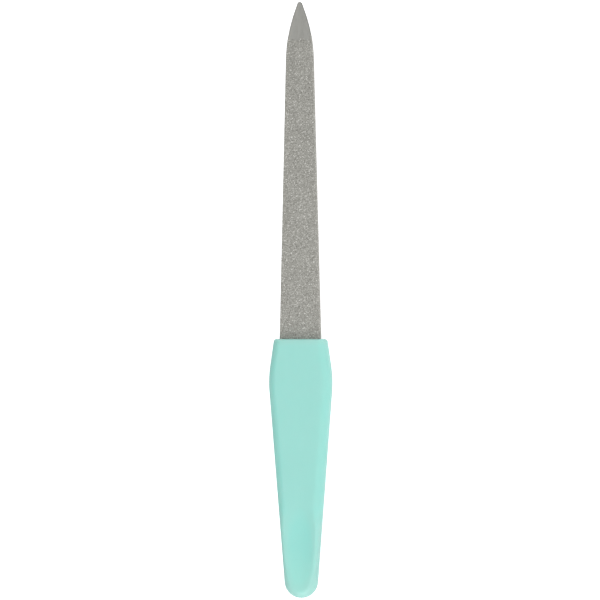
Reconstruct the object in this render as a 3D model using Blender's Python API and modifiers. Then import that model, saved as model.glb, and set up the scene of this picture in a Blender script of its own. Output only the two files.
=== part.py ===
"""Sapphire nail file, lying on the flat back of its handle.

A stamped steel blade runs into a moulded plastic handle, and a layer of
corundum grit is bonded to each face of the blade. X runs across the file,
+Y points at the tip, +Z is up, and the table is at Z = 0. Y = 0 is halfway
along the file.
"""

import math

import bmesh
import bpy

# Blade, in metres and degrees
BLADE_REACH = 0.0848  # from the handle's mouth to the tip
BLADE_WIDTH = 0.01055  # across at the mouth
BLADE_THICKNESS = 0.0008
BLADE_LEAN = 1.42  # how much each long edge leans in on its way to the point
POINT_LEAN = 19.6  # the same for the two edges of the point
POINT_RADIUS = 0.0006
OGIVE_RADIUS = 0.0385  # the curve that turns a long edge into the point
BLADE_EDGE_BREAK = 0.0002

# The end of the blade that the handle is moulded round
ROOT_DEPTH = 0.004  # full width inside the mouth
ROOT_SLANT = 0.0012  # how far the shoulders slope back on their way to the tang
TANG_DEPTH = 0.036
TANG_WIDTH = 0.0064  # beside the root
TANG_END_WIDTH = 0.0050
TANG_CORNER = 0.0012
NOTCH_COUNT = 3  # on each side, filled by the handle's plastic
NOTCH_FIRST = 0.010  # mouth to the middle of the first notch
NOTCH_PITCH = 0.009
NOTCH_LENGTH = 0.0040
NOTCH_BITE = 0.0011
NOTCH_RADIUS = 0.0008

# Grit, on both faces
GRIT_START = 0.0094  # bare steel at the point
GRIT_THICKNESS = 0.00013
GRIT_TUCK = 0.002  # how far it runs on inside the mouth
BOND_LINE = 0.00002  # binder between the steel and the grit

# Handle
HANDLE_LENGTH = 0.0652
MOUTH_WIDTH = 0.01346
SHOULDER_WIDTH = 0.01644  # where the two straight sides would meet
SHOULDER_DROP = 0.00993  # mouth to that meeting point
SHOULDER_RADIUS = 0.030
END_RADIUS = 0.00425
MOUTH_THICKNESS = 0.0050
END_THICKNESS = 0.0044
FRONT_ROUND = 0.0022
BACK_ROUND = 0.0018
MOUTH_ROUND = 0.0006
MOUTH_CORNER = 0.0011
SLOT_CLEARANCE = 0.0003

# Thumb scoop in the handle's front
SCOOP_LENGTH = 0.0200
SCOOP_WIDTH = 0.0124  # on a front that has no rounds, wider than the handle is there
SCOOP_DEPTH = 0.0009
SCOOP_END_GAP = 0.0032  # from the handle's end to the scoop
SCOOP_SUNK_SHARE = 0.2  # of half the cutter's height, so a larger share has steeper walls

# How finely the curves are drawn
ARC_SAG = 0.00001  # between an arc and its chords
WIDEST_STEP = math.radians(12)
ROUND_SEGMENTS = 5
BREAK_SEGMENTS = 2
ROUND_ROOM = 0.95  # the most of a wall's thickness that the rounds on its edges may take
SHARP_EDGE = math.radians(80)
SMOOTH_ANGLE = math.radians(32)
WELD = 1e-7
FLAT = math.radians(0.05)

# Places that follow from the sizes
TIP_Y = (HANDLE_LENGTH + BLADE_REACH) / 2
MOUTH_Y = TIP_Y - BLADE_REACH
END_Y = MOUTH_Y - HANDLE_LENGTH
BLADE_Z = MOUTH_THICKNESS / 2
FRONT_SLOPE = math.atan((MOUTH_THICKNESS - END_THICKNESS) / HANDLE_LENGTH)


def clear_scene():
    """Empties the scene and returns new collections for the parts and for the cutters."""
    for old in list(bpy.data.objects):
        bpy.data.objects.remove(old, do_unlink=True)
    made = []
    for name in ("sapphire_nail_file", "cutters"):
        made.append(bpy.data.collections.new(name))
        bpy.context.scene.collection.children.link(made[-1])
    return made


def material(name, red, green, blue, roughness, metallic):
    """A plain surface whose colour is given as a screen shows it, 0 to 255."""

    def linear(shown):
        shown = shown / 255
        return shown / 12.92 if shown <= 0.04045 else ((shown + 0.055) / 1.055) ** 2.4

    made = bpy.data.materials.new(name)
    made.use_nodes = True
    shader = made.node_tree.nodes["Principled BSDF"]
    shader.inputs["Base Color"].default_value = (linear(red), linear(green), linear(blue), 1)
    shader.inputs["Roughness"].default_value = roughness
    shader.inputs["Metallic"].default_value = metallic
    return made


def both_sides(corners):
    """The right-hand corners and their mirror images; one with x = 0 is not doubled."""
    return corners + [(-x, y, radius) for x, y, radius in reversed(corners) if x > 0]


def opening_at(corners, i):
    """The direction that halves a corner, and its opening, which is negative in a notch."""
    x, y, _ = corners[i]
    before_x, before_y, _ = corners[i - 1]
    after_x, after_y, _ = corners[(i + 1) % len(corners)]
    to_before = math.atan2(before_y - y, before_x - x)
    to_after = math.atan2(after_y - y, after_x - x)
    opening = math.remainder(to_after - to_before, math.tau)
    return to_before + opening / 2, opening


def grown(corners, distance):
    """A clockwise outline with every side moved outwards, and its radii with them."""
    moved = []
    for i, (x, y, radius) in enumerate(corners):
        bisector, opening = opening_at(corners, i)
        outwards = distance if opening > 0 else -distance
        shift = outwards / math.sin(abs(opening) / 2)
        moved.append(
            (
                x - shift * math.cos(bisector),
                y - shift * math.sin(bisector),
                max(radius + outwards, 0) if radius else 0,
            )
        )
    return moved


def rounded(corners):
    """Outline points: each corner (x, y, radius) becomes an arc that touches both its sides."""
    points = []
    for i, (x, y, radius) in enumerate(corners):
        if radius <= 0:
            points.append((x, y))
            continue
        bisector, opening = opening_at(corners, i)
        away = radius / math.sin(abs(opening) / 2)
        centre_x = x + away * math.cos(bisector)
        centre_y = y + away * math.sin(bisector)
        turn = math.copysign(math.pi, opening) - opening
        finest = 2 * math.acos(1 - min(ARC_SAG / radius, 1))
        steps = max(2, math.ceil(abs(turn) / min(finest, WIDEST_STEP)))
        for step in range(steps + 1):
            angle = bisector + math.pi + turn * (0.5 - step / steps)
            points.append((centre_x + radius * math.cos(angle), centre_y + radius * math.sin(angle)))
    return points


def rectangle(half_width, front_y, back_y):
    return rounded(both_sides([(half_width, front_y, 0), (half_width, back_y, 0)]))


def plate(name, outline, thickness, z, collection):
    """A flat outline with a thickness, centred on the height z, as a closed mesh."""
    curve = bpy.data.curves.new(name, "CURVE")
    curve.dimensions = "2D"
    curve.fill_mode = "BOTH"
    curve.extrude = thickness / 2
    spline = curve.splines.new("POLY")
    spline.points.add(len(outline) - 1)
    for point, (x, y) in zip(spline.points, outline):
        point.co = (x, y, 0, 1)
    spline.use_cyclic_u = True
    guide = bpy.data.objects.new(name + "_outline", curve)
    collection.objects.link(guide)
    guide.location.z = z
    bpy.context.view_layer.update()
    mesh = bpy.data.meshes.new_from_object(guide.evaluated_get(bpy.context.evaluated_depsgraph_get()))
    mesh.name = name
    made = bpy.data.objects.new(name, mesh)
    made.matrix_world = guide.matrix_world
    bpy.data.objects.remove(guide)
    shape = bmesh.new()
    shape.from_mesh(mesh)
    bmesh.ops.remove_doubles(shape, verts=shape.verts, dist=WELD)
    # The caps come as triangles, and a bevel runs cleanly only round whole faces.
    bmesh.ops.dissolve_limit(shape, angle_limit=FLAT, verts=shape.verts, edges=shape.edges)
    bmesh.ops.recalc_face_normals(shape, faces=shape.faces)
    shape.to_mesh(mesh)
    shape.free()
    collection.objects.link(made)
    return made


def finish(made, look):
    """Gives a part its material, smooth round faces and sharp corners."""
    made.data.materials.clear()
    made.data.materials.append(look)
    made.data.shade_smooth()
    made.data.set_sharp_from_angle(angle=SMOOTH_ANGLE)


def boolean(target, operation, cutter):
    cut = target.modifiers.new(operation.lower() + "_" + cutter.name, "BOOLEAN")
    cut.operation = operation
    cut.object = cutter
    cut.solver = "EXACT"
    cutter.hide_render = True
    cutter.display_type = "WIRE"


def blade_corners():
    """The blade and its tang from above.

    Two leaning lines make each side of the blade: the long edge and the edge
    of the point. One arc joins them and another closes the tip. The tang
    narrows a little and has blunt notches at an even pitch.
    """
    lean, point = math.tan(math.radians(BLADE_LEAN)), math.tan(math.radians(POINT_LEAN))
    apex_y = TIP_Y + POINT_RADIUS / math.sin(math.atan(point)) - POINT_RADIUS
    bend_y = (point * apex_y - lean * MOUTH_Y - BLADE_WIDTH / 2) / (point - lean)
    root_y = MOUTH_Y - ROOT_DEPTH
    neck_y = root_y - ROOT_SLANT
    tang_y = MOUTH_Y - TANG_DEPTH
    narrowing = (TANG_WIDTH - TANG_END_WIDTH) / 2 / (neck_y - tang_y)

    def tang_x(y):
        return TANG_WIDTH / 2 - narrowing * (neck_y - y)

    corners = [
        (0, apex_y, POINT_RADIUS),
        (point * (apex_y - bend_y), bend_y, OGIVE_RADIUS),
        (BLADE_WIDTH / 2 + lean * ROOT_DEPTH, root_y, 0),
        (tang_x(neck_y), neck_y, 0),
    ]
    for notch in range(NOTCH_COUNT):
        middle_y = MOUTH_Y - NOTCH_FIRST - notch * NOTCH_PITCH
        upper_y, lower_y = middle_y + NOTCH_LENGTH / 2, middle_y - NOTCH_LENGTH / 2
        corners += [
            (tang_x(upper_y), upper_y, 0),
            (tang_x(middle_y) - NOTCH_BITE, middle_y, NOTCH_RADIUS),
            (tang_x(lower_y), lower_y, 0),
        ]
    corners.append((tang_x(tang_y), tang_y, TANG_CORNER))
    return both_sides(corners)


def handle_outline():
    """The handle from above: it flares to the shoulder, then narrows to a round end.

    Each lower side is the line from the shoulder that just touches the circle
    of the end, carried on to where it meets the other one.
    """
    circle_y = END_Y + END_RADIUS
    shoulder_x = SHOULDER_WIDTH / 2
    shoulder_y = MOUTH_Y - SHOULDER_DROP
    run = shoulder_y - circle_y
    lean = math.atan2(shoulder_x, run) - math.asin(END_RADIUS / math.hypot(shoulder_x, run))
    return rounded(
        both_sides(
            [
                (MOUTH_WIDTH / 2, MOUTH_Y, 0),
                (shoulder_x, shoulder_y, SHOULDER_RADIUS),
                (0, circle_y - END_RADIUS / math.sin(lean), END_RADIUS),
            ]
        )
    )


def front_height(y):
    """Height of the handle's front face, which slopes down from the mouth to the end."""
    return MOUTH_THICKNESS - (MOUTH_Y - y) * math.tan(FRONT_SLOPE)


def make_blade():
    """Stamped from steel sheet, bright at the point, with a notched tang inside the handle."""
    blade = plate("blade", rounded(blade_corners()), BLADE_THICKNESS, BLADE_Z, parts)
    broken = blade.modifiers.new("broken_edges", "BEVEL")
    broken.width = min(BLADE_EDGE_BREAK, BLADE_THICKNESS * ROUND_ROOM / 2)
    broken.segments = BREAK_SEGMENTS
    broken.limit_method = "ANGLE"
    broken.angle_limit = SHARP_EDGE
    finish(blade, material("steel", 154, 155, 149, 0.42, 1.0))


def make_grit(name, side):
    """Corundum grit on one face; side is 1 for the front and -1 for the back."""
    middle_z = BLADE_Z + side * (BLADE_THICKNESS / 2 + BOND_LINE + GRIT_THICKNESS / 2)
    face = rounded(grown(blade_corners(), -BLADE_EDGE_BREAK))
    coat = plate(name, face, GRIT_THICKNESS, middle_z, parts)
    front_y = TIP_Y - GRIT_START
    back_y = MOUTH_Y - GRIT_TUCK
    window = plate(
        name + "_extent",
        rectangle(BLADE_WIDTH, front_y, back_y),
        GRIT_THICKNESS * 4,
        middle_z,
        cutters,
    )
    boolean(coat, "INTERSECT", window)
    finish(coat, material(name, 161, 160, 154, 0.75, 0.6))


def round_handle(handle):
    """Rounds the handle's edges: wide along the front, less on the back and at the mouth."""
    thinnest = min(MOUTH_THICKNESS, END_THICKNESS)
    share = min(1, thinnest * ROUND_ROOM / (FRONT_ROUND + BACK_ROUND))
    front, back = FRONT_ROUND * share, BACK_ROUND * share
    weight = handle.data.attributes.new("bevel_weight_edge", "FLOAT", "EDGE")
    for edge in handle.data.edges:
        first, second = (handle.data.vertices[i].co for i in edge.vertices)
        at_mouth = min(first.y, second.y) > MOUTH_Y - WELD
        upright = (first - second).xy.length < WELD
        if at_mouth and upright:
            width = MOUTH_CORNER
        elif upright:
            width = 0
        elif at_mouth:
            width = MOUTH_ROUND
        else:
            width = front if first.z > BLADE_Z else back
        weight.data[edge.index].value = width / front
    edges = handle.modifiers.new("rounded_edges", "BEVEL")
    edges.width = front
    edges.segments = ROUND_SEGMENTS
    edges.limit_method = "WEIGHT"


def make_handle():
    """One plastic moulding, with the slot that holds the blade and a scoop for the thumb."""
    handle = plate("handle", handle_outline(), MOUTH_THICKNESS, 0, parts)
    for vertex in handle.data.vertices:
        vertex.co.z = front_height(vertex.co.y) if vertex.co.z > 0 else 0
    round_handle(handle)

    slot = plate(
        "tang_slot",
        rounded(grown(blade_corners(), SLOT_CLEARANCE)),
        BLADE_THICKNESS + 2 * SLOT_CLEARANCE,
        BLADE_Z,
        cutters,
    )
    boolean(handle, "DIFFERENCE", slot)

    coated = BLADE_THICKNESS + 2 * (BOND_LINE + GRIT_THICKNESS)
    lean = math.tan(math.radians(BLADE_LEAN))
    half_width = BLADE_WIDTH / 2 + SLOT_CLEARANCE + lean * (ROOT_DEPTH + SLOT_CLEARANCE)
    inner_y = MOUTH_Y - GRIT_TUCK - SLOT_CLEARANCE
    lip = plate(
        "grit_slot",
        rectangle(half_width, MOUTH_Y + MOUTH_ROUND, inner_y),
        coated + 2 * SLOT_CLEARANCE,
        BLADE_Z,
        cutters,
    )
    boolean(handle, "DIFFERENCE", lip)
    boolean(handle, "DIFFERENCE", make_scoop_cutter())
    finish(handle, material("mint_plastic", 161, 222, 213, 0.32, 0.0))


def make_scoop_cutter():
    """An egg that dips into the front face: its rim there is the scoop's length and width."""
    half_height = SCOOP_DEPTH / SCOOP_SUNK_SHARE
    rim_share = math.sqrt(1 - (1 - SCOOP_SUNK_SHARE) ** 2)
    middle_y = END_Y + SCOOP_END_GAP + SCOOP_LENGTH / 2
    mesh = bpy.data.meshes.new("scoop")
    egg = bmesh.new()
    bmesh.ops.create_uvsphere(egg, u_segments=48, v_segments=48, radius=1)
    bmesh.ops.scale(
        egg,
        vec=(SCOOP_WIDTH / 2 / rim_share, SCOOP_LENGTH / 2 / rim_share, half_height),
        verts=egg.verts,
    )
    egg.to_mesh(mesh)
    egg.free()
    cutter = bpy.data.objects.new("scoop", mesh)
    cutters.objects.link(cutter)
    cutter.rotation_euler.x = FRONT_SLOPE
    cutter.location = (0, middle_y, front_height(middle_y) + half_height - SCOOP_DEPTH)
    return cutter


parts, cutters = clear_scene()
make_blade()
make_grit("front_grit_coat", 1)
make_grit("back_grit_coat", -1)
make_handle()
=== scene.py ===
import math

import bmesh
import bpy
import numpy as np
from mathutils import Matrix, Vector


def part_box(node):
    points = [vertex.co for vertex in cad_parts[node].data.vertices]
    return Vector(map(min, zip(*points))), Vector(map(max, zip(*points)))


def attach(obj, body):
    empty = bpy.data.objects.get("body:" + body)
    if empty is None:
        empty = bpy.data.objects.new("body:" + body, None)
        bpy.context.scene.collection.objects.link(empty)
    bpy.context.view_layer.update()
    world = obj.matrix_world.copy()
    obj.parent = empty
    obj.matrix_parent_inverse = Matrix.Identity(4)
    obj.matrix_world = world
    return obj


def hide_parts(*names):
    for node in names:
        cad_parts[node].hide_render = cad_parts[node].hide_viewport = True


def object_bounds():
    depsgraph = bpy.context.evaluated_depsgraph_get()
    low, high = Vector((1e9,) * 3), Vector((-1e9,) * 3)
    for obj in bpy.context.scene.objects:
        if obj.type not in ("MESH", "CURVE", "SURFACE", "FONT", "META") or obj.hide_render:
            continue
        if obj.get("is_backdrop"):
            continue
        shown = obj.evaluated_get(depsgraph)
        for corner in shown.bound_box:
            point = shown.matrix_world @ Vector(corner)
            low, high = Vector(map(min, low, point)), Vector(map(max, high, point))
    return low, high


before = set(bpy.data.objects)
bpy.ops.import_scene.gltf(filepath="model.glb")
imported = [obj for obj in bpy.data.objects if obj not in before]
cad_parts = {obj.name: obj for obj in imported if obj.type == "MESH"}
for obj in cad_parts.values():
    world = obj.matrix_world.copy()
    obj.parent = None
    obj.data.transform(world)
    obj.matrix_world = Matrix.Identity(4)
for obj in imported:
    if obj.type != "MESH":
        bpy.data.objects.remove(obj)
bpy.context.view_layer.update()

# The steel blade: one stamping of 0.8 mm sheet, tumbled until its edges are
# round. The point stays bare, the root fills the handle's mouth, and the
# notched tang behind it is gripped by the plastic.
MM = 0.001
blade_low, blade_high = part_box("blade")
steel_z = (blade_low.z + blade_high.z) / 2
steel_half = (blade_high.z - blade_low.z) / 2
tip_y = blade_high.y
tang_y = blade_low.y
mouth_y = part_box("handle")[1].y
blade_width = 10.55 * MM  # at the mouth
blade_lean = math.tan(math.radians(1.42))
point_lean = math.tan(math.radians(19.6))
point_radius = 0.6 * MM
ogive_radius = 38.5 * MM
root_depth = 4.0 * MM
root_slant = 1.2 * MM
tang_width = 6.4 * MM
tang_end_width = 5.0 * MM
tang_corner = 1.2 * MM
notch_first = 10.0 * MM
notch_pitch = 9.0 * MM
notch_length = 4.0 * MM
notch_bite = 1.1 * MM
notch_radius = 0.8 * MM
notch_count = 3
edge_round = 0.2 * MM
# How many lengths each arc of the blade's edge is cut into, then each straight.
tang_corner_cuts = 8
notch_cuts = 6
ogive_cuts = 40
point_cuts = 24
tang_run_cuts = 2
filing_run_cuts = 90
point_run_cuts = 20
edge_round_cuts = 6
blade_column_count = 17  # points in a row across the flat
joined_within = 1e-7  # points nearer than this are one
crease = math.radians(50)  # a sharper turn than this shows as an edge
every_square = slice(None)
steel_low = (0.248, 0.247, 0.229, 1)
steel_high = (0.397, 0.395, 0.371, 1)
# Painted shade for the blade's rounded edges.
steel_edge_shade = (0.2, 0.2, 0.185, 1)


class Wire:
    """A shader socket that takes part in arithmetic: each operator adds a Math node."""

    def __init__(self, tree, socket=None):
        self.tree = tree
        self.socket = socket

    def node(self, kind, settings=None, sockets=None, output=0):
        """Adds a node, sets its settings, then gives its sockets their values or links."""
        made = self.tree.nodes.new("ShaderNode" + kind)
        settings = dict(settings or {})
        stops = settings.pop("stops", ())
        for name, value in settings.items():
            setattr(made, name, value)
        for i, (place, colour) in enumerate(stops):
            band = made.color_ramp.elements
            stop = band[i] if i < len(band) else band.new(place)
            stop.position = place
            stop.color = colour
        for name, value in (sockets or {}).items():
            if isinstance(value, Wire):
                self.tree.links.new(value.socket, made.inputs[name])
            else:
                made.inputs[name].default_value = value
        return Wire(self.tree, made.outputs[output] if made.outputs else None)

    def maths(self, operation, first, second):
        """One Math node on two values."""
        return self.node("Math", {"operation": operation}, {0: first, 1: second})

    def __add__(self, other):
        return self.maths("ADD", self, other)

    def __radd__(self, other):
        return self.maths("ADD", other, self)

    def __sub__(self, other):
        return self.maths("SUBTRACT", self, other)

    def __rsub__(self, other):
        return self.maths("SUBTRACT", other, self)

    def __mul__(self, other):
        return self.maths("MULTIPLY", self, other)

    def __rmul__(self, other):
        return self.maths("MULTIPLY", other, self)

    def __truediv__(self, number):
        return self * (1 / number)

    def clamped(self):
        """This value, held between 0 and 1."""
        return self.node("Clamp", sockets={"Value": self})

    def spread(self, times):
        """This value, taken so many times as far from a half."""
        return times * (self - 0.5) + 0.5

    def part(self, axis):
        """A place's distance along one axis: X, Y or Z."""
        return self.node("SeparateXYZ", sockets={"Vector": self}, output=axis)

    def blend(self, first, second):
        """A colour that goes from first to second as this value goes from 0 to 1."""
        settings = {"data_type": "RGBA", "clamp_factor": True}
        # A Mix node repeats its sockets' names; for colours they are 6 and 7, and 2 comes out.
        return self.node("Mix", settings, {0: self, 6: first, 7: second}, output=2)


def shades(name):
    """A new material's tree without its nodes, and the material."""
    material = bpy.data.materials.new(name)
    material.use_nodes = True
    material.node_tree.nodes.clear()
    return Wire(material.node_tree), material


def surface(tree, sockets):
    """Ends a material in one Principled shader with these sockets."""
    shader = tree.node("BsdfPrincipled", sockets=sockets)
    tree.node("OutputMaterial", sockets={"Surface": shader})


def own_place(tree):
    """The piece's own coordinates, in metres."""
    return tree.node("TexCoord", output="Object")


def grain_along(tree, size, stretch, detail):
    """Noise from 0 to 1 on the piece's own coordinates, drawn out along Y by stretch."""
    scale = (1 / size, 1 / (size * stretch), 1 / size)
    drawn = tree.node("Mapping", sockets={"Vector": own_place(tree), "Scale": scale})
    sockets = {"Vector": drawn, "Scale": 1.0, "Detail": detail, "Roughness": 0.6}
    return tree.node("TexNoise", sockets=sockets)


def side_path(corners, runs):
    """The right-hand edge of a symmetric outline, from its flat end to its pole.

    Each corner (x, y, radius, cuts) becomes an arc that touches both of its
    sides: the centre is on the halving line, radius / sin(half the opening)
    from the corner. The first corner's other side is the flat end, and the
    last corner lies on the middle line, where half of its arc is kept. The
    straight run that leaves each corner is cut into runs[i] equal lengths.
    """
    places = np.array([corner[:2] for corner in corners])
    before = np.vstack([places[0] * (-1, 1), places[:-1]])
    after = np.vstack([places[1:], places[-2] * (-1, 1)])
    stretches = []
    for i, (_, _, radius, cuts) in enumerate(corners):
        back = before[i] - places[i]
        on = after[i] - places[i]
        back, on = back / np.linalg.norm(back), on / np.linalg.norm(on)
        half = math.acos(np.clip(back @ on, -1, 1)) / 2
        halving = (back + on) / np.linalg.norm(back + on)
        centre = places[i] + halving * radius / math.sin(half)
        share = np.linspace(0, 1, cuts + 1)[:, None]
        swing = (math.pi - 2 * half) * (share - 0.5)
        across = on - halving * (on @ halving)
        across = across / np.linalg.norm(across)
        arc = centre + radius * (np.sin(swing) * across - np.cos(swing) * halving)
        stretches.append(arc if radius else places[i][None])
    last = stretches[-1]
    stretches[-1] = last[: len(last) // 2 + 1]
    path = [stretches[0]]
    for run, stretch in zip(runs, stretches[1:]):
        share = np.linspace(0, 1, run + 1)[1:-1, None]
        path += [path[-1][-1] + (stretch[0] - path[-1][-1]) * share, stretch]
    path = np.vstack(path)
    path[-1, 0] = 0
    return path


def ring(side, columns, z):
    """The closed loop of an outline: its flat end, its right edge to the pole, its left edge."""
    end = np.column_stack([columns * side[0, 0], np.full(len(columns), side[0, 1])])
    left = side[-2:0:-1] * (-1, 1)
    flat = np.vstack([end, side[1:], left])
    return np.column_stack([flat, np.broadcast_to(z, len(flat))])


def face(side, columns, height):
    """The field inside an outline: a row from edge to edge at each of its points."""
    x = side[:, :1] * columns
    y = np.broadcast_to(side[:, 1:], x.shape)
    z = np.broadcast_to(height(x, y), x.shape)
    return np.stack([x, y, z], axis=-1)


def squares(grid, closed):
    """The corner numbers of a grid's squares; a closed grid joins its last column to its first."""
    rows, columns = grid.shape[:2]
    i, j = np.meshgrid(np.arange(rows - 1), np.arange(columns - (not closed)), indexing="ij")
    k = (j + 1) % columns
    corners = [i * columns + j, i * columns + k, (i + 1) * columns + k, (i + 1) * columns + j]
    return np.stack(corners, axis=-1).reshape(-1, 4)


def weld(mesh):
    """Joins points that lie together, drops what has no area and turns every face outwards."""
    shape = bmesh.new()
    shape.from_mesh(mesh)
    bmesh.ops.remove_doubles(shape, verts=shape.verts, dist=joined_within)
    # The first pass can leave one of two slivers that share an edge.
    for _ in range(2):
        bmesh.ops.dissolve_degenerate(shape, edges=shape.edges, dist=joined_within)
    bmesh.ops.recalc_face_normals(shape, faces=shape.faces)
    # The step above makes all faces agree, but may turn a thin shell inside out.
    if shape.calc_volume(signed=True) < 0:
        bmesh.ops.reverse_faces(shape, faces=shape.faces)
    shape.to_mesh(mesh)
    shape.free()


def skin(name, grids, material, sharp, strips=()):
    """One piece from grids of points (array, closed, kept squares) whose borders coincide.

    Each strip is a grid's share of the width of a flat map, from its left to
    its right; the map's height goes from the grid's first row to its last,
    with a margin of 0.01 above and below.
    """
    points, faces, maps = [], [], []
    for grid, closed, kept in grids:
        corners = squares(grid, closed)[kept]
        if strips:
            left, right = strips[len(maps)]
            u = np.linspace(left, right, grid.shape[1])
            v = np.linspace(0.01, 0.99, len(grid))
            spots = np.stack(np.meshgrid(u, v), axis=-1).reshape(-1, 2)
            maps.append(spots[corners].reshape(-1, 2))
        faces.append(corners + sum(map(len, points)))
        points.append(grid.reshape(-1, 3))
    points, faces = np.vstack(points), np.vstack(faces)
    used, corners = np.unique(faces, return_inverse=True)
    mesh = bpy.data.meshes.new(name)
    mesh.from_pydata(points[used].tolist(), [], corners.reshape(faces.shape).tolist())
    if strips:
        mesh.uv_layers.new(name="OFBake").uv.foreach_set("vector", np.vstack(maps).ravel())
    weld(mesh)
    mesh.shade_smooth()
    mesh.set_sharp_from_angle(angle=sharp)
    mesh.materials.append(material)
    made = bpy.data.objects.new(name, mesh)
    bpy.context.scene.collection.objects.link(made)
    return made


def blade_side():
    """Right-hand edge of the blade from the tang's end to the point.

    The point's two sides would meet at an apex, which lies beyond the tip by
    radius / sin(lean) - radius. The filing side and the point's side, two
    straight lines, cross at the bend, which the long ogive arc rounds. The
    tang narrows evenly from its neck to its end, and a notch is a bite with a
    round bottom, halfway between two points that stay on the tang's side.
    """
    apex_y = tip_y + point_radius / math.sin(math.atan(point_lean)) - point_radius
    rise = point_lean * apex_y - blade_lean * mouth_y - blade_width / 2
    bend_y = rise / (point_lean - blade_lean)
    root_y = mouth_y - root_depth
    neck_y = root_y - root_slant
    narrowing = (tang_width - tang_end_width) / 2 / (neck_y - tang_y)

    def tang_x(y):
        return tang_width / 2 - narrowing * (neck_y - y)

    corners = [(tang_x(tang_y), tang_y, tang_corner, tang_corner_cuts)]
    for notch in reversed(range(notch_count)):
        middle_y = mouth_y - notch_first - notch * notch_pitch
        for y, bite, radius in (
            (middle_y - notch_length / 2, 0, 0),
            (middle_y, notch_bite, notch_radius),
            (middle_y + notch_length / 2, 0, 0),
        ):
            corners.append((tang_x(y) - bite, y, radius, notch_cuts))
    corners += [
        (tang_x(neck_y), neck_y, 0, 1),
        (blade_width / 2 + blade_lean * root_depth, root_y, 0, 1),
        (point_lean * (apex_y - bend_y), bend_y, ogive_radius, ogive_cuts),
        (0, apex_y, point_radius, point_cuts),
    ]
    last_runs = [filing_run_cuts, point_run_cuts]
    runs = [tang_run_cuts] * (len(corners) - 1 - len(last_runs)) + last_runs
    return side_path(corners, runs)


def drawn_in(side, distance):
    """An edge moved inwards: each point goes along the mitre of the two runs beside it.

    The mitre is the sum of the runs' inward normals, over one plus the
    product of the two.
    """
    loop = np.vstack([side[:1] * (-1, 1), side, side[-2:-1] * (-1, 1)])
    along = np.diff(loop, axis=0)
    along /= np.linalg.norm(along, axis=1)[:, None]
    inwards = np.column_stack([-along[:, 1], along[:, 0]])
    first, second = inwards[:-1], inwards[1:]
    mitre = (first + second) / (1 + (first * second).sum(1))[:, None]
    moved = side + mitre * distance
    moved[-1, 0] = 0
    return moved


def steel_finish():
    """Satin steel: a grey mirror, soft from fine belt lines that run lengthwise over clouds.

    The rounded edges are painted darker, a painted shade where they turn from
    the light. The square of the height over the mid plane, as a share of half
    the thickness, tells them from the flats: the tone is the flats' own where it
    is 1, and the painted shade's where it is 3/4 or less, on the turn.
    """
    tree, material = shades("satin_steel")
    marks = grain_along(tree, size=0.05 * MM, stretch=40, detail=3).spread(times=2.8)
    clouds = grain_along(tree, size=1.6 * MM, stretch=2.5, detail=2).spread(times=1.6)
    flat = (0.5 * clouds + 0.5 * marks).blend(steel_low, steel_high)
    high = (own_place(tree).part("Z") - steel_z) / steel_half
    # Painted shade: the rounded edges are darker than the flats.
    colour = (4.0 * high * high - 3.0).blend(steel_edge_shade, flat)
    relief = tree.node("Bump", sockets={"Height": marks, "Strength": 0.4, "Distance": 0.008 * MM})
    surface(
        tree,
        {
            "Base Color": colour,
            "Metallic": 0.85,
            "Roughness": 0.42 + 0.16 * marks,
            "Normal": relief,
        },
    )
    return material


blade_columns = np.linspace(-1, 1, blade_column_count)
blade_edge = blade_side()
turn = np.radians(np.linspace(0, 90, edge_round_cuts + 1))
turns = np.concatenate([-turn[::-1], turn])
centres = steel_z + (steel_half - edge_round) * np.repeat([-1, 1], len(turn))
edge_loops = []
for t, centre_z in zip(turns, centres):
    edge = drawn_in(blade_edge, edge_round * (1 - math.cos(t)))
    edge_loops.append(ring(edge, blade_columns, centre_z + edge_round * math.sin(t)))
flat_edge = drawn_in(blade_edge, edge_round)
front_flat = face(flat_edge, blade_columns, lambda x, y: steel_z + steel_half)
back_flat = face(flat_edge, blade_columns, lambda x, y: steel_z - steel_half)
blade = skin(
    "steel_blade",
    [
        (np.array(edge_loops), True, every_square),
        (front_flat, False, every_square),
        (back_flat, False, every_square),
    ],
    steel_finish(),
    crease,
)
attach(blade, "root")
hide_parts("blade")

# The grit: crushed corundum of about a fifth of a millimetre, bonded to both
# faces and round the long edges, so that the two coats meet at mid thickness.
# Each coat thins out to single grains below the bare point.
grain = 0.2 * MM
grit_from = tip_y - 7.4 * MM
grit_to = mouth_y - 2.0 * MM
bare = 9.2 * MM  # from the point to the first grains in the middle
creep = 1.6 * MM  # how much further they go along the edges
creep_from = 0.72  # share of the way from the middle to the edge
creep_over = 0.2
thins_over = 0.8 * MM
# Two waves across the blade that make the coat's end ragged: size, pace, start.
ragged = ((0.25, 9.0, 0.0), (0.2, 23.0, 1.0))
bond = 0.05 * MM
bond_side = 0.015 * MM
grain_high = 0.10 * MM
grain_high_side = 0.05 * MM
pushed = 0.36  # the most that a point is moved, in distances between points
mean_heights = (0.14, 0.42, 0.78)  # a hollow, a point between, a peak
height_spread = 0.2
under_skin = 0.02 * MM  # how deep the coat's hidden side lies in the steel
under_columns = 9  # points in a row across it
cells_per_grain = 1.3
# Tones of the grains differ at random; the two brightest stops are painted glints.
grain_tones_and_glints = [
    (0.0, (0.2, 0.196, 0.175, 1)),
    (0.16, (0.285, 0.28, 0.254, 1)),
    (0.5, (0.342, 0.338, 0.309, 1)),
    (0.84, (0.411, 0.406, 0.373, 1)),
    (0.94, (0.563, 0.558, 0.523, 1)),
    (1.0, (0.785, 0.78, 0.748, 1)),
]
rng = np.random.default_rng(41)


def steel_half_width(y):
    """Half the blade's width at a place along it, read off its edge."""
    return np.interp(y, blade_edge[:, 1], blade_edge[:, 0])


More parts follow.
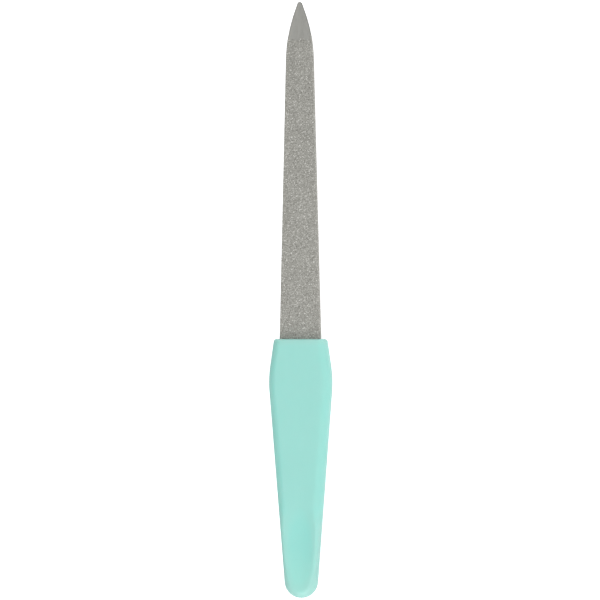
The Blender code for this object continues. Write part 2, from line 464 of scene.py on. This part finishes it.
def wrapped(share, y, lift_face, lift_side):
    """A place on the skin over half of the blade's thickness.

    share runs from -1 at the left edge's mid height, over the face, to 1 at
    the right one. It is measured along the steel: the flat of the face, then
    a quarter turn of the edge's radius, then down the side. The point is then
    lifted square to the steel, by lift_face on the face and by lift_side on
    the side, and by a mix of both on the turn.
    """
    flat = steel_half_width(y) - edge_round
    bow = edge_round * math.pi / 2
    run = np.abs(share) * (flat + bow + steel_half - edge_round)
    angle = np.clip((run - flat) / edge_round, 0, math.pi / 2)
    down = np.maximum(run - flat - bow, 0)
    lift = lift_face + (lift_side - lift_face) * angle * 2 / math.pi
    x = np.minimum(run, flat) + (edge_round + lift) * np.sin(angle)
    z = steel_half - edge_round - down + (edge_round + lift) * np.cos(angle)
    return np.stack([np.sign(share) * x, y, z], axis=-1)


def grit_finish(name):
    """Corundum in a grey binder: cells a little smaller than a grain draw a tone each.

    Most of the tones are grey and a few are dark, at random; the brightest
    few are painted glints. The brighter a cell is, the smoother.
    """
    tree, material = shades(name)
    sockets = {"Vector": own_place(tree), "Scale": cells_per_grain / grain}
    cells = tree.node("TexVoronoi", sockets=sockets, output="Color")
    lot = tree.node("SeparateColor", sockets={"Color": cells})
    # The brightest cells are painted glints.
    colour = tree.node("ValToRGB", {"stops": grain_tones_and_glints}, {"Fac": lot})
    surface(
        tree,
        {
            "Base Color": colour,
            "Metallic": 0.35,
            "Roughness": 0.62 - 0.3 * lot,
        },
    )
    return material


def grit_coat(side):
    """Crushed grains on a lattice: a peak in each cell, lower points between the cells.

    Points lie half a grain apart, and closer across the blade where it is
    narrower. One in four is a peak, one in four is a hollow and the others
    lie between, each with its own random height. The rows between the peaks
    are shifted by a quarter of a grain, to the right and to the left in turn,
    and all points are pushed about sideways. Towards the bare point the whole
    relief sinks evenly into the steel, so that only the tallest grains still
    show. The hidden side, just inside the steel, has only a few columns, and a
    strip at each end joins every outer point to the nearest of them.
    """
    across = 2 * round(2 * (steel_half_width(mouth_y) + steel_half) / grain) + 1
    along = 2 * round((grit_from - grit_to) / grain) + 1
    j, i = np.meshgrid(np.arange(across), np.arange(along))
    inside = (i > 0) & (i < along - 1) & (j > 0) & (j < across - 1)
    shift = rng.uniform(-pushed, pushed, (2, along, across))
    shift[0] += 0.5 * (np.abs(i % 4 - 2) - 1)
    shift *= inside
    share = 2 * (j + shift[0]) / (across - 1) - 1
    y = grit_from + (grit_to - grit_from) * (i + shift[1]) / (along - 1)
    mean = np.choose((i % 2) + (j % 2), mean_heights)
    height = np.clip(mean + rng.normal(0, height_spread, y.shape), 0, 1)
    height = np.where(inside, height, 0)
    edge = np.clip((np.abs(share) - creep_from) / creep_over, 0, 1)
    wave = sum(size * np.sin(share * pace + start) for size, pace, start in ragged)
    first_y = tip_y - bare + creep * edge * edge + thins_over * wave
    cover = np.clip((first_y - y) / thins_over, 0, 1)
    sunk = (1 - cover) * (bond + grain_high)
    lift_face = bond + grain_high * height - sunk
    lift_side = bond_side + grain_high_side * height - sunk
    outer = wrapped(share, y, lift_face, lift_side)
    seats = np.linspace(0, across - 1, under_columns).round().astype(int)
    depth = -under_skin - sunk[:, seats]
    inner = wrapped(share[:, seats], y[:, seats], depth, depth)
    inner[:, [0, -1]] = outer[:, [0, -1]]
    nearest = np.abs(np.arange(across)[:, None] - seats).argmin(axis=1)
    ends = [np.array([outer[row], inner[row, nearest]]) for row in (0, -1)]
    return [grid * (1, 1, side) + (0, 0, steel_z) for grid in (outer, inner, *ends)]


# The grains take nine tenths of the map's width; the hidden sides share the rest.
strips = ((0.01, 0.91), (0.93, 0.95), (0.96, 0.97), (0.98, 0.99))
for name, side in (("front_grit", 1), ("back_grit", -1)):
    grids = [(grid, False, every_square) for grid in grit_coat(side)]
    coat = skin(name, grids, grit_finish(name), 0, strips)
    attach(coat, "root")
    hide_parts(name + "_coat")

# The handle: one moulding of mint plastic with wide rounds along its front,
# smaller ones at the back and the mouth, and a scoop for the thumb near its
# end. It is moulded round the blade, whose shape it therefore holds inside.
handle_low, handle_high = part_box("handle")
end_y = handle_low.y
mouth_thick = handle_high.z
end_thick = 4.4 * MM
mouth_half = 13.46 * MM / 2
shoulder_half = 16.44 * MM / 2
shoulder_drop = 9.93 * MM
shoulder_radius = 30 * MM
end_radius = 4.25 * MM
front_round = 2.2 * MM
back_round = 1.8 * MM
mouth_round = 0.6 * MM
mouth_corner = 1.1 * MM
inner_corner = 0.35 * MM
parting_ridge = 0.02 * MM
ridge_reach = 0.04  # how far it goes up and down the wall, as a share of its height
slot_play = 0.05 * MM
scoop_length = 20.0 * MM
scoop_width = 12.4 * MM
scoop_deep = 0.9 * MM
scoop_gap = 3.2 * MM
scoop_sunk = 0.2  # the share of half the egg's height that is below the face
scoop_lip = 0.32 * MM
scoop_middle = end_y + scoop_gap + scoop_length / 2
# In the next line, polish is the painted shade in the scoop and rims the painted sheen.
scoop_oval_half = 3.4 * MM  # half the width of the oval that polish and rims follow
lip_sheen_reach = 1.8 * MM  # how far the paler lip goes down from the mouth
# How many lengths each arc of the handle's edge is cut into, then each straight.
mouth_corner_cuts = 10
shoulder_cuts = 20
end_cuts = 64
shoulder_run_cuts = 12
grip_run_cuts = 120
round_cuts = 18
slot_column_count = 47  # points in a row across the slot
mint_low = (0.283, 0.64, 0.581, 1)
mint_high = (0.299, 0.66, 0.598, 1)
# Deeper colour inside the scoop: painted shade.
mint_scoop_shade = (0.262, 0.656, 0.594, 1)
# Lighter colour towards the lower end: painted light.
mint_painted_light = (0.303, 0.69, 0.618, 1)
# Paler colour on the rims and the mouth's lip: painted sheen.
mint_painted_sheen = (0.335, 0.62, 0.568, 1)


def front_z(y):
    """Height of the front face, which slopes evenly from the mouth to the end."""
    return mouth_thick - (mouth_thick - end_thick) * (mouth_y - y) / (mouth_y - end_y)


def scooped(x, y, z):
    """Height of the front at (x, y) once the thumb scoop is cut into a front that was z high.

    The scoop is the underside of an egg of half height h: it lies at
    deep - h * (1 - sqrt(1 - r^2)) below the face, where r is the share of the
    way out from the egg's axis to its widest loop. The lower of the two
    heights a and b is kept, eased over a lip where they cross:
    (a + b - sqrt((a - b)^2 + lip^2)) / 2.
    """
    high = scoop_deep / scoop_sunk
    rim = math.sqrt(1 - (1 - scoop_sunk) ** 2)
    out = rim * rim * ((2 * x / scoop_width) ** 2 + (2 * (y - scoop_middle) / scoop_length) ** 2)
    egg = front_z(y) - scoop_deep + high * (1 - np.sqrt(1 - np.minimum(out, 1)))
    return (z + egg - np.hypot(z - egg, scoop_lip)) / 2


def handle_side(inset, mouth_inset, corner):
    """Right-hand edge of the handle from its mouth to its end, drawn in by two insets.

    The side lines and both arcs keep their distance from the outer outline,
    the mouth line has its own, and corner is the radius between the two. The
    upper line goes from the mouth to the shoulder. The lower one goes on to
    touch the end's circle: its lean is the direction from the shoulder to the
    circle's centre, less the angle that the radius takes up there.
    """
    circle_y = end_y + end_radius
    shoulder_y = mouth_y - shoulder_drop
    run = shoulder_y - circle_y
    lower = math.atan2(shoulder_half, run) - math.asin(end_radius / math.hypot(shoulder_half, run))
    upper = math.atan2(shoulder_half - mouth_half, shoulder_drop)
    # Each side line is kept as x = start + slope * (y - mouth_y).
    upper_slope, lower_slope = -math.tan(upper), math.tan(lower)
    upper_x = mouth_half - inset / math.cos(upper)
    lower_x = shoulder_half + lower_slope * shoulder_drop - inset / math.cos(lower)
    bend = (lower_x - upper_x) / (upper_slope - lower_slope)
    mouth_x = upper_x - upper_slope * mouth_inset
    bend_x = upper_x + upper_slope * bend
    corners = [
        (mouth_x, mouth_y - mouth_inset, corner, mouth_corner_cuts),
        (bend_x, mouth_y + bend, shoulder_radius - inset, shoulder_cuts),
        (0, mouth_y - lower_x / lower_slope, end_radius - inset, end_cuts),
    ]
    return side_path(corners, [shoulder_run_cuts, grip_run_cuts])


def plastic_finish():
    """Mint plastic: light sinks in a little way, and the skin has a soft, slightly uneven gloss.

    along is 0 at the scoop's middle, 1 at its upper end and -1 at its lower
    one. out is the squared share of the way from that middle to an oval as
    long as the scoop. Inside the oval the colour is deeper, a painted shade
    for the duller sheen in the scoop: it fades as out goes from 1/3 to 1. It
    is on the front alone, and comes in from mid thickness to 1 mm above it.
    Below the middle the colour is painted lighter, painted light as if more
    came through the thinner plastic: it goes from 0 there to 1 just short of
    the lower end. The rims that fingers hold are painted paler, a painted
    sheen, and made duller: they grow with out from 0.8 on, and fade as along
    goes from -0.1 to 0.9. The lip of the mouth has the same painted sheen,
    which fades over lip_sheen_reach.
    """
    tree, material = shades("mint_plastic")
    clouds = grain_along(tree, size=2.5 * MM, stretch=3, detail=3)
    peel = grain_along(tree, size=0.35 * MM, stretch=1, detail=2)
    place = own_place(tree)
    across = place.part("X") / scoop_oval_half
    along = (place.part("Y") - scoop_middle) / (scoop_length / 2)
    out = across * across + along * along
    in_front = ((place.part("Z") - steel_z) / MM).clamped()
    # Painted shade: the scoop's colour is deeper inside the oval.
    scoop_shade = in_front * (1.5 - 1.5 * out)
    # Painted light: lighter below the scoop's middle.
    thin_end_light = -1.1 * along
    # Painted sheen on the rims.
    rim_sheen = (out - 0.8) * (0.9 - along).clamped()
    # Painted sheen on the mouth's lip.
    lip_sheen = (1.0 - (mouth_y - place.part("Y")) / lip_sheen_reach).clamped()
    painted_sheen = (rim_sheen + lip_sheen).clamped()
    moulded = clouds.blend(mint_low, mint_high)
    # Painted light and shade over the moulded tone.
    painted_light_and_shade = thin_end_light.blend(scoop_shade.blend(moulded, mint_scoop_shade), mint_painted_light)
    # Painted sheen over all of it.
    colour = painted_sheen.blend(painted_light_and_shade, mint_painted_sheen)
    relief = tree.node("Bump", sockets={"Height": peel, "Strength": 0.15, "Distance": 0.01 * MM})
    surface(
        tree,
        {
            "Base Color": colour,
            "Roughness": 0.28 + 0.12 * clouds + 0.15 * painted_sheen,
            "Subsurface Weight": 1.0,
            "Subsurface Radius": (0.8, 1.0, 0.95),
            "Subsurface Scale": 1.2 * MM,
            "Specular IOR Level": 1.0,
            "Normal": relief,
        },
    )
    return material


slot_half = steel_half_width(mouth_y) + bond_side + grain_high_side + slot_play
slot_rise = steel_half + bond + grain_high + slot_play
outer_side = handle_side(0, 0, mouth_corner)
slot_share = slot_half / outer_side[0, 0]
slot_columns = np.linspace(-slot_share, slot_share, slot_column_count)
handle_columns = np.concatenate([[-1], slot_columns, [1]])
flat_count = len(handle_columns)
# How much of a round belongs to the side and not to the mouth: 0 on the mouth
# line and 1 past its corner, eased at both ends.
turned = np.clip(np.arange(len(outer_side)) / mouth_corner_cuts, 0, 1)
turned = turned * turned * (3 - 2 * turned)
side_share = np.concatenate([np.zeros(flat_count), turned[1:], turned[-2:0:-1]])


def round_size(side_round):
    """The radius of a round at each point of a loop: the mouth's at the mouth, then the side's."""
    return mouth_round + (side_round - mouth_round) * side_share


def round_loop(side_round, t):
    """A loop on a round that has turned by t from the wall, and how far it is from the face.

    It is drawn in by radius * (1 - cos(t)), and radius * (1 - sin(t)) is left.
    """
    lean_in = 1 - math.cos(t)
    corner = mouth_corner + (inner_corner - mouth_corner) * lean_in
    edge = handle_side(side_round * lean_in, mouth_round * lean_in, corner)
    return ring(edge, handle_columns, 0), round_size(side_round) * (1 - math.sin(t))


rounds = np.radians(np.linspace(0, 90, round_cuts + 1))
loops = []
for t in rounds[::-1]:
    loop, to_face = round_loop(back_round, t)
    loop[:, 2] = to_face
    loops.append(loop)
slot_low, slot_high = steel_z - slot_rise, steel_z + slot_rise
wall_span = mouth_thick - 2 * mouth_round
wall_shares = [
    (slot_low - mouth_round) / wall_span,
    0.5 - ridge_reach,
    0.5,
    0.5 + ridge_reach,
    (slot_high - mouth_round) / wall_span,
]
first_wall = len(loops)
for share in wall_shares:
    ridge = parting_ridge if share == 0.5 else 0
    loop = ring(handle_side(-ridge, 0, mouth_corner), handle_columns, 0)
    low = round_size(back_round)
    high = front_z(loop[:, 1]) - round_size(front_round)
    loop[:, 2] = low + share * (high - low)
    loops.append(loop)
for t in rounds:
    loop, to_face = round_loop(front_round, t)
    loop[:, 2] = scooped(loop[:, 0], loop[:, 1], front_z(loop[:, 1]) - to_face)
    loops.append(loop)
loops = np.array(loops)

# The wall's squares inside the slot's frame are left out: the pocket starts there.
wall_squares = np.ones(loops.shape[:2], bool)[:-1]
last_wall = first_wall + len(wall_shares) - 1
wall_squares[first_wall:last_wall, 1 : flat_count - 2] = False

hole = loops[first_wall : last_wall + 1, 1 : flat_count - 1]
mouth_loop = np.vstack([hole[0], hole[1:-1, -1], hole[-1, ::-1], hole[-2:0:-1, 0]])
blade_y = blade_edge[:, 1]
depths = np.unique(np.concatenate([blade_y[blade_y < mouth_y], [mouth_y]]))[::-1]
# The pocket follows the blade's width down from the mouth, with the same play
# all the way, and closes just past the tang's end.
pocket = np.repeat(mouth_loop[None], len(depths) + 2, axis=0)
widths = (steel_half_width(depths) + slot_half - steel_half_width(mouth_y)) / slot_half
pocket[: len(depths), :, 0] *= widths[:, None]
pocket[: len(depths), :, 1] = depths[:, None]
pocket[len(depths) :, :, 0] *= widths[-1]
pocket[len(depths) :, :, 1] = tang_y - slot_play
pocket[-1] = (0, tang_y - slot_play, steel_z)

front_edge = handle_side(front_round, mouth_round, inner_corner)
back_edge = handle_side(back_round, mouth_round, inner_corner)
front_face = face(front_edge, handle_columns, lambda x, y: scooped(x, y, front_z(y)))
back_face = face(back_edge, handle_columns, lambda x, y: 0)
handle = skin(
    "handle_moulding",
    [
        (loops, True, wall_squares.ravel()),
        (front_face, False, every_square),
        (back_face, False, every_square),
        (pocket, True, every_square),
    ],
    plastic_finish(),
    crease,
)
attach(handle, "root")
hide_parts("handle")

# The stage: a white table under the file, in a white room that is brighter on
# its right. Soft light comes from above, from the right and from beyond the
# handle's end, high and low. The long lens looks down from a little to the right.
picture_rows = 600
file_rows = 596  # how many of them the file takes up
file_length = 150.0 * MM
view_height = file_length * picture_rows / file_rows
lens_tilt = math.radians(13)
lens_spin = math.radians(-0.115)
lens_length = 200  # in millimetres, as the sensor is
sensor = 36
aim = Vector((-0.1 * MM, 0.0, steel_z))  # the middle of the picture
reach = 2.0  # from the table's middle to its sides
room_strength = 0.88
room_slope = 0.25  # how much stronger it is straight to the right

floor_mesh = bpy.data.meshes.new("table_top")
floor_corners = [(-reach, -reach, 0), (reach, -reach, 0), (reach, reach, 0), (-reach, reach, 0)]
floor_mesh.from_pydata(floor_corners, [], [(0, 1, 2, 3)])
tree, white = shades("white_table")
surface(
    tree,
    {
        "Base Color": (0.9, 0.9, 0.9, 1),
        "Roughness": 0.9,
        "Specular IOR Level": 0.1,
        "Emission Color": (1, 1, 1, 1),
        "Emission Strength": 0.6,
    },
)
floor_mesh.materials.append(white)
floor = bpy.data.objects.new("table_top", floor_mesh)
bpy.context.scene.collection.objects.link(floor)
floor.visible_diffuse = False
floor.visible_glossy = False
floor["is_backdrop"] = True


def soft_light(name, place, size, watts, mirrored):
    """A rectangular soft light that faces the file; size is its level side, then the other one.

    One that isn't mirrored lights the skins, but doesn't show in glossy ones.
    """
    data = bpy.data.lights.new(name, "AREA")
    data.shape = "RECTANGLE"
    data.size, data.size_y = size
    data.energy = watts
    lamp = bpy.data.objects.new(name, data)
    bpy.context.scene.collection.objects.link(lamp)
    lamp.location = place
    lamp.rotation_euler = Vector(place).to_track_quat("Z", "Y").to_euler()
    lamp.visible_camera = False
    lamp.visible_glossy = mirrored


soft_light("overhead", place=(-0.15, 0.0, 1.19), size=(1.5, 0.62), watts=1.5, mirrored=True)
soft_light("right_side", place=(1.04, 0.0, 0.6), size=(1.5, 0.31), watts=2.2, mirrored=False)
soft_light("end_side", place=(0.0, -1.04, 0.6), size=(1.2, 0.9), watts=4.2, mirrored=True)
soft_light("low_end", place=(0.0, -1.19, 0.16), size=(1.2, 0.3), watts=0.6, mirrored=True)

world = bpy.data.worlds.new("room")
world.use_nodes = True
world.node_tree.nodes.clear()
room = Wire(world.node_tree)
strength = room_strength + room_slope * own_place(room).part("X")
walls = room.node("Background", sockets={"Color": (1, 1, 1, 1), "Strength": strength})
room.node("OutputWorld", sockets={"Surface": walls})
bpy.context.scene.world = world
bpy.context.scene.view_settings.view_transform = "Standard"

lens = bpy.data.cameras.new("lens")
lens.lens = lens_length
lens.sensor_width = sensor
lens.clip_start, lens.clip_end = 0.05, 10
camera = bpy.data.objects.new("lens", lens)
bpy.context.scene.collection.objects.link(camera)
distance = view_height * lens_length / sensor
direction = Vector((math.sin(lens_tilt), 0, math.cos(lens_tilt)))
turned_view = Matrix.Rotation(lens_tilt, 4, "Y") @ Matrix.Rotation(lens_spin, 4, "Z")
camera.matrix_world = Matrix.Translation(aim + direction * distance) @ turned_view
bpy.context.scene.camera = camera

low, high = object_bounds()
